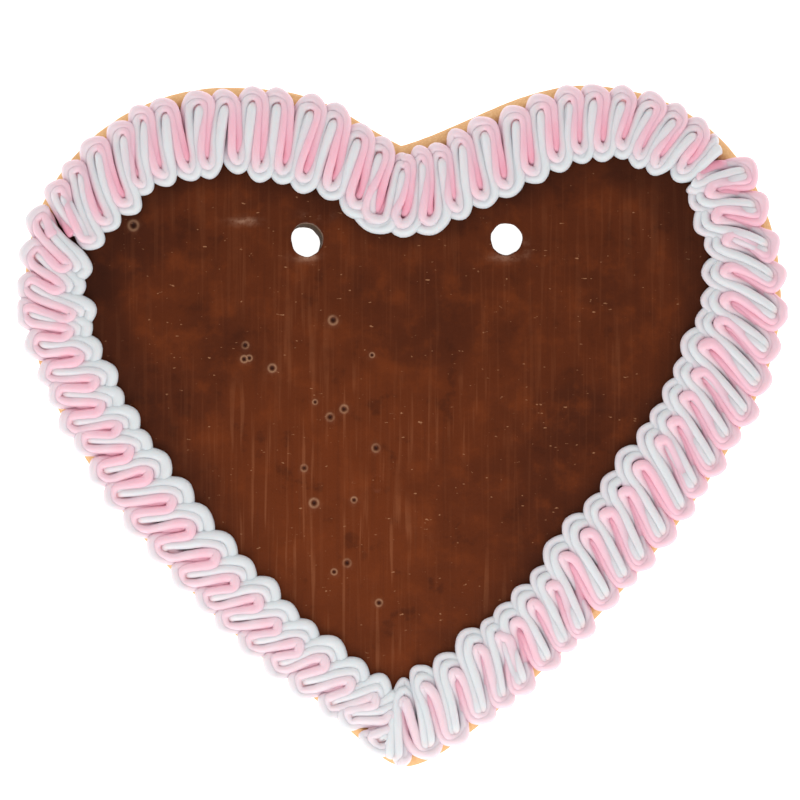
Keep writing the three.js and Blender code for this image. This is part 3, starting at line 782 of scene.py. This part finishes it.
# Where light is painted, drawing the glaze lighter and warmer towards the lower middle and the
# tip, and scuffs: pixel, then half length and half height.
PAINTED_TIP_LIGHT = (((345, 540), 46.0, 52.0), ((400, 664), 20.0, 15.0))
SCUFFS = (((245, 221), 3.8, 0.7), ((306, 257), 3.4, 0.9), ((506, 257), 3.2, 0.8),
          ((525, 247), 1.2, 2.0), ((318, 214), 3.0, 1.2))
# The blister is flat on top and has a groove round it; its radii and heights are in mm.
BLISTER = {"at": (377, 485), "radii": (1.1, 1.9), "rise": 0.5, "flat": 0.8,
           "groove": 0.1, "groove_at": 1.15, "groove_width": 0.2}
BLISTER_REACH = 1.6
# The shape of a pit, in its own radii: how wide its floor is, where its rim lies and how wide
# that is, and where both end. The rim's rise is a share of the pit's depth.
PIT_FLOOR = 0.75
PIT_RIM, PIT_RIM_WIDTH, PIT_RIM_RISE = 1.25, 0.35, 0.32
PIT_END = 2.2
# Distances from a pit's middle, in its radii, at which the mesh has rings of points, and how
# many points a ring of one radius has.
PIT_RINGS = (0.25, 0.5, 0.75, 1.0, 1.25, 1.5, 1.8)
PIT_RING_POINTS = 14
# Sizes in mm of the face's slow waves and of its fine ripples, and the ripples' height.
WAVE_SIZE = 22
RIPPLE_SIZE, RIPPLE_HEIGHT = (2.6, 4.5), 0.05
# The face is level at its rim and uneven from this many mm in.
RIM_EASE = 4
# The grid of the face, in mm, reaches over the whole slab. Its rows are staggered and closer
# than its points, which makes nearly even triangles; the jitter is a share of the grain.
FACE_REACH_X, FACE_REACH_Y = (-98, 98), (-88, 90)
ROW_SPACING = 0.87
GRID_JITTER = 0.18
GRID_SEED = 12
# The underside takes every ninth point of the face, this many mm clear of its rim and of the
# middles of the holes.
UNDERSIDE_EVERY, UNDERSIDE_RIM, UNDERSIDE_HOLE = 9, 2.0, 6
# Unevenness as depth and size in mm: slow and fine lumps of the side, and crumbs of the holes,
# whose depth is a share of the radius. Crumbs end this far from a hole's two mouths.
SIDE_LUMPS, SIDE_GRAIN, HOLE_CRUMBS = (0.12, 9), (0.07, 2.2), (0.022, 0.9)
MOUTH = 0.3
# The height in mm over which the noise of the side and of the holes changes by one lump.
SIDE_CHANGE, HOLE_CHANGE = 1.6, 1.1
# Waves round the rim of a hole: how many, their turn in radians and their share of the radius.
HOLE_WAVES = ((3, 1, 0.018), (7, 0, 0.012))
# The glaze ends on the side this many mm below the face, over GLAZE_FADE mm.
GLAZE_END, GLAZE_FADE = 0.9, 1.2


def photo_place(pixel):
    """The place on the slab, in mm, of a pixel of the photograph."""
    return ((pixel[0] - PIXEL_ORIGIN[0]) * PIXEL_MM, (PIXEL_ORIGIN[1] - pixel[1]) * PIXEL_MM)


def inset_ring(points, inset):
    """The outline drawn in by a distance along its own normals."""
    run = np.roll(points, -1, axis=0) - np.roll(points, 1, axis=0)
    run /= np.linalg.norm(run, axis=1)[:, None]
    inset = np.reshape(inset, (-1, 1))
    return points + inset * np.stack([run[:, 1], -run[:, 0]], axis=1)


def inside(points, ring):
    """Which points lie inside a closed ring."""
    x, y = points[:, 0][:, None], points[:, 1][:, None]
    a, b = ring, np.roll(ring, -1, axis=0)
    crosses = (a[:, 1] > y) != (b[:, 1] > y)
    slope = (y - a[:, 1]) / np.where(b[:, 1] == a[:, 1], 1e-9, b[:, 1] - a[:, 1])
    return (np.sum(crosses & (x < a[:, 0] + slope * (b[:, 0] - a[:, 0])), axis=1) % 2).astype(bool)


def slow_waves(x, y):
    """Slow unevenness of the baked face, about -1 to 1."""
    return noise.fractal(Vector((x / WAVE_SIZE, y / WAVE_SIZE, 3.7)), 1.0, 2.0, 3)


def bell(away, middle, width):
    """A bell curve: 1 at its middle, and about a third of that at a width from it."""
    return np.exp(-((away - middle) / width) ** 2)


def top_height(x, y, unevenness):
    """Height of the glazed face above its level, in mm; the face never rises above it."""
    height = unevenness * (slow_waves(x, y) - 1.0)
    height += RIPPLE_HEIGHT * noise.noise(Vector((x / RIPPLE_SIZE[0], y / RIPPLE_SIZE[1], 9.1)))
    for pixel, radius, deep in PITS:
        px, py = photo_place(pixel)
        away = math.hypot(x - px, y - py) / radius
        if away < PIT_END:
            height += deep * (PIT_RIM_RISE * bell(away, PIT_RIM, PIT_RIM_WIDTH)
                              - bell(away, 0, PIT_FLOOR))
    bx, by = photo_place(BLISTER["at"])
    away = math.hypot((x - bx) / BLISTER["radii"][0], (y - by) / BLISTER["radii"][1])
    if away < 2:
        height += BLISTER["rise"] * math.exp(-(away / BLISTER["flat"]) ** 4)
        height -= BLISTER["groove"] * bell(away, BLISTER["groove_at"], BLISTER["groove_width"])
    return min(height, 0.0)


def hole_ring(hole, count, grow=0.0):
    """The rim of a ribbon hole, clockwise, a little uneven."""
    angles = -np.linspace(0, 2 * np.pi, count, endpoint=False)
    uneven = 1 + sum(share * np.sin(waves * angles + turn) for waves, turn, share in HOLE_WAVES)
    radii = np.array(hole["radii"]) + grow
    circle = np.stack([np.cos(angles), np.sin(angles)], axis=1)
    return np.array(hole["centre"]) + circle * radii * uneven[:, None]


def fill_face(rings, extra):
    """Triangles between an outer ring and hole rings, over all the given points."""
    verts = np.vstack([*rings, extra])
    edges, first = [], 0
    for ring in rings:
        count = len(ring)
        edges += [(first + i, first + (i + 1) % count) for i in range(count)]
        first += count
    made = geometry.delaunay_2d_cdt([Vector(v) for v in verts], edges, [], 1, 1e-5)
    points = np.array([tuple(v) for v in made[0]])
    faces = np.array([f for f in made[2] if len(f) == 3])
    centres = points[faces].mean(axis=1)
    keep = np.ones(len(faces), bool)
    for ring in rings[1:]:
        keep &= ~inside(centres, ring)
    return points, faces[keep], made[3]


def rough_noise(points, size, level):
    """Unevenness of the dough at points, with lumps of a size in mm."""
    return np.array([noise.noise(Vector((x / size, y / size, level))) for x, y in points])


def ring_verts(made, points, height):
    """A vertex at each point of a ring, at a height in mm."""
    return [made.verts.new((*(point * MM), height * MM)) for point in points]


def slab_side(made, outline):
    """The side from the foot to the shoulder: rings of points, each with its vertices."""
    depth, size = SIDE_LUMPS
    uneven = rough_noise(outline, size, 1.3)
    rings = []
    for height, inset in SLAB_SIDE:
        # The slow lumps fade out towards the shoulder and at the foot.
        level = height / SLAB_THICKNESS
        drawn = inset + depth * (1 + uneven) * (1 - level ** 6) * min(1, height)
        points = inset_ring(outline, drawn)
        if 0 < height < SLAB_THICKNESS:
            fine = rough_noise(points, SIDE_GRAIN[1], height / SIDE_CHANGE)
            points = inset_ring(points, SIDE_GRAIN[0] * (1 + fine))
        rings.append((points, ring_verts(made, points, height)))
    return rings


def ribbon_hole(made, hole):
    """A punched hole from its lower mouth to the upper one, as rings like those of the side."""
    rings = []
    for down, grow in HOLE_LEVELS[::-1]:
        slant = np.array(hole["slant"]) * down / SLAB_THICKNESS
        points = hole_ring(hole, HOLE_POINTS, grow) + slant
        centre = points.mean(axis=0)
        if MOUTH < down < SLAB_THICKNESS - MOUTH:
            crumbs = rough_noise(points, HOLE_CRUMBS[1], down / HOLE_CHANGE)[:, None]
            points = centre + (points - centre) * (1 + HOLE_CRUMBS[0] * crumbs)
        rings.append((points, ring_verts(made, points, SLAB_THICKNESS - down)))
    return rings


def face_grid(grain, rim):
    """Points of the upper face on a jittered grid, half a grain clear of its rim and the holes."""
    rng = np.random.default_rng(GRID_SEED)
    xs, ys = np.meshgrid(np.arange(*FACE_REACH_X, grain),
                         np.arange(*FACE_REACH_Y, grain * ROW_SPACING))
    xs[1::2] += grain / 2
    grid = np.stack([xs.ravel(), ys.ravel()], axis=1)
    grid += rng.uniform(-GRID_JITTER, GRID_JITTER, grid.shape) * grain
    grid = grid[inside(grid, inset_ring(rim, grain / 2))]
    mouth = HOLE_LEVELS[0][1]
    for hole in RIBBON_HOLES:
        away = (grid - hole["centre"]) / (np.array(hole["radii"]) + mouth + grain / 2)
        grid = grid[np.linalg.norm(away, axis=1) > 1]
    return grid


def pit_points():
    """Rings of points round each pit and the blister."""
    marks = [(photo_place(pixel), radius) for pixel, radius, _ in PITS]
    marks.append((photo_place(BLISTER["at"]), BLISTER_REACH))
    rings = []
    for place, radius in marks:
        for reach in PIT_RINGS:
            count = max(6, int(PIT_RING_POINTS * reach))
            turn = np.linspace(0, 2 * np.pi, count, endpoint=False) + reach * 3
            rings.append(place + radius * reach * np.stack([np.cos(turn), np.sin(turn)], axis=1))
    return np.vstack(rings)


def close_face(made, rings, extra, height_at):
    """Fills the flat between an outer ring and the holes' rings, at the height of each point."""
    points, faces, origins = fill_face([points for points, _ in rings], extra)
    known = [vert for _, verts in rings for vert in verts]
    shown = []
    for point, source in zip(points, origins):
        first = source[0] if source else len(known)
        vert = known[first] if first < len(known) else made.verts.new((*(point * MM), 0))
        vert.co.z = height_at(point) * MM
        shown.append(vert)
    for face in faces:
        made.faces.new([shown[i] for i in face])


def close_wall(made, rings):
    """Joins each ring of a side or a hole to the next."""
    for (_, low), (_, high) in zip(rings, rings[1:]):
        for i in range(len(low)):
            j = (i + 1) % len(low)
            made.faces.new((low[i], low[j], high[j], high[i]))


def slab_mesh(slab):
    """The gingerbread slab: a baked face over a bulging side, with two punched holes."""
    made = bmesh.new()
    outline = heart_points(SLAB_OUTLINE, OUTLINE_POINTS)
    side = slab_side(made, outline)
    holes = [ribbon_hole(made, hole) for hole in RIBBON_HOLES]
    rim, foot = side[-1][0], side[0][0]
    grid = face_grid(slab.grain, rim)

    def face_height(point):
        from_rim = np.min(np.linalg.norm(rim - point, axis=1))
        ease = min(1.0, from_rim / RIM_EASE)
        return SLAB_THICKNESS + ease * top_height(*point, slab.unevenness)

    close_face(made, [side[-1]] + [rings[-1] for rings in holes],
               np.vstack([grid, pit_points()]), face_height)
    # The underside is flat and needs only a few points inside it.
    few = grid[::UNDERSIDE_EVERY]
    for rings in holes:
        away = np.linalg.norm(few - rings[0][0].mean(axis=0), axis=1)
        few = few[away > UNDERSIDE_HOLE]
    few = few[inside(few, inset_ring(foot, UNDERSIDE_RIM))]
    close_face(made, [side[0]] + [rings[0] for rings in holes], few, lambda point: 0)
    for rings in (side, *holes):
        close_wall(made, rings)
    bmesh.ops.recalc_face_normals(made, faces=made.faces)
    data = bpy.data.meshes.new("gingerbread_slab")
    made.to_mesh(data)
    made.free()
    store_slab_marks(data, outline)
    for polygon in data.polygons:
        polygon.use_smooth = True
    return data


def store_slab_marks(data, outline):
    """Stores how far each point is from the outline, the holes and the marks of the glaze, and
    where shade and light are painted on the pits and towards the tip.
    """
    places = point_places(data).astype(float) / MM
    flat = places[:, :2]
    # In parts, because all distances at once would take gigabytes.
    part = 2000
    rim = np.concatenate([
        np.linalg.norm(flat[start:start + part, None] - outline[None], axis=2).min(axis=1)
        for start in range(0, len(flat), part)])
    hole = np.min([(np.linalg.norm((flat - item["centre"]) / item["radii"], axis=1) - 1)
                   * item["radii"][0] for item in RIBBON_HOLES], axis=0)
    pits = np.array([np.linalg.norm(flat - photo_place(pixel), axis=1) / radius
                     for pixel, radius, _ in PITS])

    def nearest(spots):
        total = [np.exp(-(((flat - photo_place(pixel)) / (half_x, half_y)) ** 2).sum(axis=1))
                 for pixel, half_x, half_y in spots]
        return np.max(total, axis=0)

    # A pit's painted rim highlight and painted floor shade lie a little inside its shape.
    marks = {
        "rim_distance": rim,
        "hole_distance": hole,
        "bare_dough": np.clip((SLAB_THICKNESS - GLAZE_END - places[:, 2]) / GLAZE_FADE, 0, 1),
        "pit_rim_highlight": bell(pits, 1.2, 0.35).max(axis=0),
        "pit_floor_shade": bell(pits, 0, 0.7).max(axis=0),
        "painted_tip_light": nearest(PAINTED_TIP_LIGHT),
        "scuff": nearest(SCUFFS),
    }
    for name, values in marks.items():
        store_values(data, name, values)


# Patterns of the slab: slow clouds and patches of the bake, the brush's fine streaks along the
# heart, and flecks and crumb that are drawn coarser than they are to show.
SLAB_PATTERNS = {
    "clouds": (26.316, (1, 1, 1), 5.0, 0.5),
    "patches": (9.0909, (1, 1, 1), 5.0, 0.6),
    "streaks": (1.6129, (1, 0.045, 1), 2.0, 0.5),
    "faint_streaks": (0.90909, (1, 0.03, 1), 1.0, 0.5),
    "flecks": (1.1111, (0.6, 1.3, 1), 2.0, 0.5),
    "crumb": (0.66667, (1, 1, 1), 2.0, 0.5),
}
GLAZE_ROUGHNESS = 0.42
DOUGH_ROUGHNESS = 0.75


def slab_material(slab):
    """Baked gingerbread with a brushed sugar glaze, and bare tan dough at the sides.

    The glaze looks deep brown and satin, cloudy and lightly streaked; the dough looks matt.
    """
    material = bpy.data.materials.new("glazed_gingerbread")
    tree = cleared_tree(material)
    pattern = surface_patterns(tree, SLAB_PATTERNS)
    mark = stored_marks(tree, ("rim_distance", "hole_distance", "bare_dough", "pit_rim_highlight",
                               "pit_floor_shade", "painted_tip_light", "scuff"))
    clouds, patches, streaks = pattern["clouds"], pattern["patches"], pattern["streaks"]
    # thin carries painted light: the glaze is drawn lighter, warmer and more streaked towards the
    # lower middle and the tip, and the painted icing shadow is lifted there.
    thin, rim = mark["painted_tip_light"], mark["rim_distance"]
    dark, warm = tuple(slab.glaze_dark), tuple(slab.glaze_warm)
    brushed = (0.2 + thin * 0.8) * smooth_step(clouds, 0.62, 0.42)
    scuffed = (mark["scuff"] * smooth_step(patches, 0.4, 0.62)
               * smooth_step(pattern["crumb"], 0.1, 0.6))
    # Painted shadow of the icing: the glaze is darker beside it, 22 to 29 mm in from the outline.
    shaded = smooth_step(rim + (clouds - 0.5) * 8.0, 29.0, 22.0) * (1.0 - thin)
    # It ends on the shoulder, 3.4 to 5.2 mm in, where the dough is bare.
    bare = smooth_step(rim + (patches - 0.5) * 3.0, 5.2, 3.4).math("MAXIMUM", mark["bare_dough"])
    # Painted shade: the bare walls of the holes are drawn dark brown.
    wall = smooth_step(mark["hole_distance"], 2.4, 1.4) * mark["bare_dough"]
    dough = coat_over(tree, tuple(slab.crumb), (
        (linear("#e8c596"), smooth_step(pattern["crumb"], 0.45, 0.7) * 0.4),
        (linear("#8a5a34"), smooth_step(patches, 0.55, 0.8) * 0.5),
    ))
    colour = coat_over(tree, tuple(slab.glaze), (
        (dark, smooth_step(clouds, 0.46, 0.7) * 0.7),
        (warm, smooth_step(patches, 0.46, 0.72) * 0.6),
        # Painted light towards the lower middle and the tip.
        (linear("#7e3813"), thin * 0.42),
        (dark, smooth_step(patches, 0.44, 0.3) * 0.5),
        (linear("#9a5d3c"), smooth_step(streaks, 0.56, 0.68) * brushed * 0.4),
        (linear("#8a4e2f"), smooth_step(pattern["faint_streaks"], 0.55, 0.7) * 0.1),
        (dark, smooth_step(streaks, 0.42, 0.3) * 0.12),
        (linear("#b07c58"), smooth_step(pattern["flecks"], 0.71, 0.77) * 0.7),
        (linear("#b98f76"), scuffed * 0.6),
        # Painted highlight on the pits' rims and painted shade on their floors.
        (linear("#b58868"), mark["pit_rim_highlight"] * smooth_step(patches, 0.3, 0.6) * 0.75),
        (linear("#1d0d08"), mark["pit_floor_shade"] * 0.9),
        # Painted shadow of the icing.
        (linear("#2a1108"), shaded * 0.5),
        (dough, bare),
        # Painted shade in the holes.
        (linear("#3c291c"), wall * 0.9),
    ))
    bump = add_node(tree, "ShaderNodeBump", links={
        "Height": streaks * 0.35 + pattern["crumb"] * 0.25 + patches * 0.8,
        "Strength": 0.35, "Distance": 0.6 * MM})
    roughness = (bare * (DOUGH_ROUGHNESS - GLAZE_ROUGHNESS) + GLAZE_ROUGHNESS
                 + (patches - 0.5) * 0.3)
    shader = add_node(tree, "ShaderNodeBsdfPrincipled", links={
        "Base Color": colour, "Roughness": roughness, "IOR": 1.45,
        "Specular IOR Level": 0.12, "Normal": bump.outputs[0]})
    add_node(tree, "ShaderNodeOutputMaterial", links={"Surface": shader.outputs[0]})
    return material


# ---- Operators ----

class HEART_OT_bake_slab(bpy.types.Operator):
    """Bake the gingerbread slab with its two ribbon holes."""
    bl_idname = "heart.bake_slab"
    bl_label = "Bake slab"

    def execute(self, context):
        settings = context.scene.gingerbread_heart.slab
        data = slab_mesh(settings)
        data.materials.append(slab_material(settings))
        piece = bpy.data.objects.new("gingerbread_slab", data)
        context.collection.objects.link(piece)
        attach(piece, "root")
        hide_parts("gingerbread")
        return {"FINISHED"}


class HEART_OT_pipe_border(bpy.types.Operator):
    """Pipe the three ropes of icing round the slab."""
    bl_idname = "heart.pipe_border"
    bl_label = "Pipe border"

    def execute(self, context):
        slab = bpy.data.objects.get("gingerbread_slab")
        if slab is None:
            raise RuntimeError("bake the slab before piping the border")
        border = context.scene.gingerbread_heart.border
        icing = icing_material(border)
        for seed, name in enumerate(ROPES):
            pipe_rope(name, seed, icing, border)
        return {"FINISHED"}


class HEART_OT_set_stage(bpy.types.Operator):
    """Lay the pale floor and set the soft lights and the camera."""
    bl_idname = "heart.set_stage"
    bl_label = "Set stage"

    def execute(self, context):
        stage = context.scene.gingerbread_heart.stage
        build_floor()
        build_lights(stage)
        build_camera(stage)
        return {"FINISHED"}


class HEART_PT_bakery(bpy.types.Panel):
    """Sizes and steps of the gingerbread heart."""
    bl_idname = "HEART_PT_bakery"
    bl_label = "Gingerbread heart"
    bl_space_type = "VIEW_3D"
    bl_region_type = "UI"
    bl_category = "Bakery"

    def draw(self, context):
        settings = context.scene.gingerbread_heart
        for part, step in ((settings.slab, HEART_OT_bake_slab),
                           (settings.border, HEART_OT_pipe_border),
                           (settings.stage, HEART_OT_set_stage)):
            box = self.layout.box()
            for name in part.bl_rna.properties.keys():
                if name not in ("rna_type", "name"):
                    box.prop(part, name)
            box.operator(step.bl_idname)


# ---- Stage ----

PHOTO_PIXELS = 800
FLOOR_HALF = 6.0
LIGHT_PLACE = (-0.05, -0.42, 0.5)
LIGHT_WIDTH = 0.5
# The tent's glow at its walls over that of its roof, and how fast it fades upwards.
TENT_ROOF = 0.42
TENT_WALLS = 1.25
TENT_FADE = 1.5


def build_floor():
    """A plain pale floor."""
    data = bpy.data.meshes.new("pale_floor")
    corners = [(x * FLOOR_HALF, y * FLOOR_HALF, 0)
               for x, y in ((-1, -1), (1, -1), (1, 1), (-1, 1))]
    data.from_pydata(corners, [], [(0, 1, 2, 3)])
    material = bpy.data.materials.new("pale_floor_paint")
    tree = cleared_tree(material)
    shader = add_node(tree, "ShaderNodeBsdfPrincipled", links={
        "Base Color": linear("#fafafa"), "Roughness": 0.9, "Specular IOR Level": 0.1,
        "Emission Color": linear("#ffffff"), "Emission Strength": 1.0})
    add_node(tree, "ShaderNodeOutputMaterial", links={"Surface": shader.outputs[0]})
    data.materials.append(material)
    floor = bpy.data.objects.new("pale_floor", data)
    bpy.context.collection.objects.link(floor)


def build_lights(stage):
    """Soft light from beyond the tip and from all round, as in a light tent."""
    data = bpy.data.lights.new("soft_light", "AREA")
    data.shape = "SQUARE"
    data.size = LIGHT_WIDTH
    data.energy = stage.light
    light = bpy.data.objects.new("soft_light", data)
    light.location = LIGHT_PLACE
    light.rotation_euler = (-Vector(LIGHT_PLACE)).to_track_quat("-Z", "Y").to_euler()
    scene = bpy.context.scene
    scene.collection.objects.link(light)
    world = bpy.data.worlds.new("light_tent")
    tree = cleared_tree(world)
    # The walls of the tent are brighter than its roof, which holds the camera.
    direction = add_node(tree, "ShaderNodeSeparateXYZ", links={
        0: add_node(tree, "ShaderNodeTexCoord").outputs["Generated"]})
    rise = Field(tree, direction.outputs["Z"]).math("MAXIMUM", 0.0)
    glow = add_node(tree, "ShaderNodeBackground", links={
        "Color": linear("#ffffff"),
        "Strength": (1.0 - rise) ** TENT_FADE * TENT_WALLS + TENT_ROOF})
    add_node(tree, "ShaderNodeOutputWorld", links={"Surface": glow.outputs[0]})
    scene.world = world
    scene.view_settings.view_transform = "Standard"


def build_camera(stage):
    """A camera that looks straight down, as the photograph does."""
    data = bpy.data.cameras.new("overhead_camera")
    camera = bpy.data.objects.new("overhead_camera", data)
    middle = photo_place((PHOTO_PIXELS / 2, PHOTO_PIXELS / 2))
    camera.location = (middle[0] * MM, middle[1] * MM, ICING_TOP * MM + stage.distance)
    width = PHOTO_PIXELS * PIXEL_MM * MM
    data.sensor_width = 36
    data.lens = data.sensor_width * stage.distance / width
    data.clip_start, data.clip_end = 0.1, 20
    bpy.context.collection.objects.link(camera)
    bpy.context.scene.camera = camera


# ---- Running ----

CLASSES = (SlabSettings, BorderSettings, StageSettings, HeartSettings, HEART_OT_bake_slab,
           HEART_OT_pipe_border, HEART_OT_set_stage, HEART_PT_bakery)


def register():
    for kind in CLASSES:
        bpy.utils.register_class(kind)
    bpy.types.Scene.gingerbread_heart = PointerProperty(type=HeartSettings)


def unregister():
    del bpy.types.Scene.gingerbread_heart
    for kind in reversed(CLASSES):
        bpy.utils.unregister_class(kind)


def main():
    register()
    bpy.ops.heart.bake_slab()
    bpy.ops.heart.pipe_border()
    bpy.ops.heart.set_stage()


if __name__ == "__main__":
    main()
